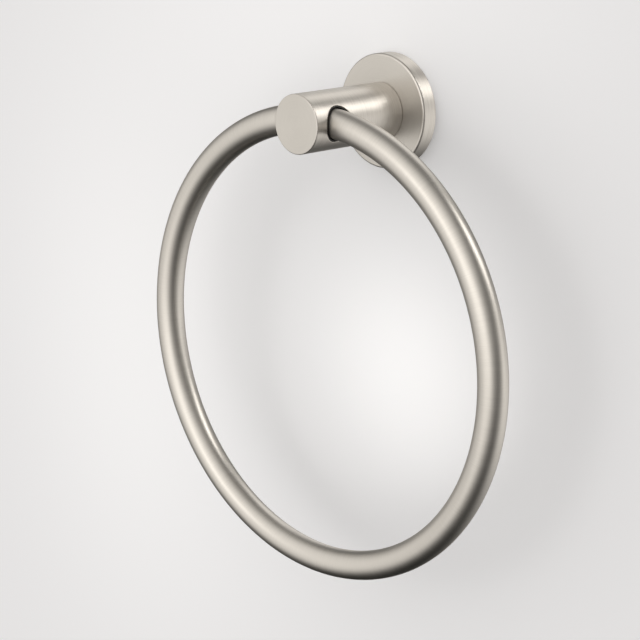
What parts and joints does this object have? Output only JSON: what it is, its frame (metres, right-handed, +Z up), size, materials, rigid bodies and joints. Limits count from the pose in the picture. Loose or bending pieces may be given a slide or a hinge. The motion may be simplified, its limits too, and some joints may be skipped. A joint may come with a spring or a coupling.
{
  "type": "towel ring",
  "caption": "Wall-mounted towel ring: a round rose and straight round post carry a large ring of bent round bar that swings in a bushed cross bore.",
  "frame": {"origin": "centre of the rose's back, on the wall, midway between the two wall screws", "axes": "+Z up, +Y into the wall, so the post stands out along -Y; +X to the right seen from the front"},
  "size_m": [0.209, 0.059, 0.2273],
  "materials": {
    "satin_nickel": "satin nickel plate, finely brushed",
    "black_nylon": "moulded, matt",
    "plain_steel": "turned steel, lightly oiled",
    "zinc_plate": "zinc plated, dull"
  },
  "bodies": {
    "wall_mount": {"rose": "satin_nickel", "wall_bracket": "zinc_plate", "rose_grub_screw": "plain_steel", "lock_washer": "plain_steel", "post_screw": "plain_steel", "post": "satin_nickel", "ring_keeper_screw": "plain_steel", "bush_left": "black_nylon", "bush_right": "black_nylon"},
    "swinging_ring": {"ring": "satin_nickel", "ring_joint_pin": "plain_steel"}
  },
  "joints": [
    {"name": "ring_swing", "type": "hinge", "parent": "wall_mount", "child": "swinging_ring", "pos_m": [0, -0.0458, 0], "axis": [-1, 0, 0], "range_deg": [-11.5, 191.5]}
  ]
}
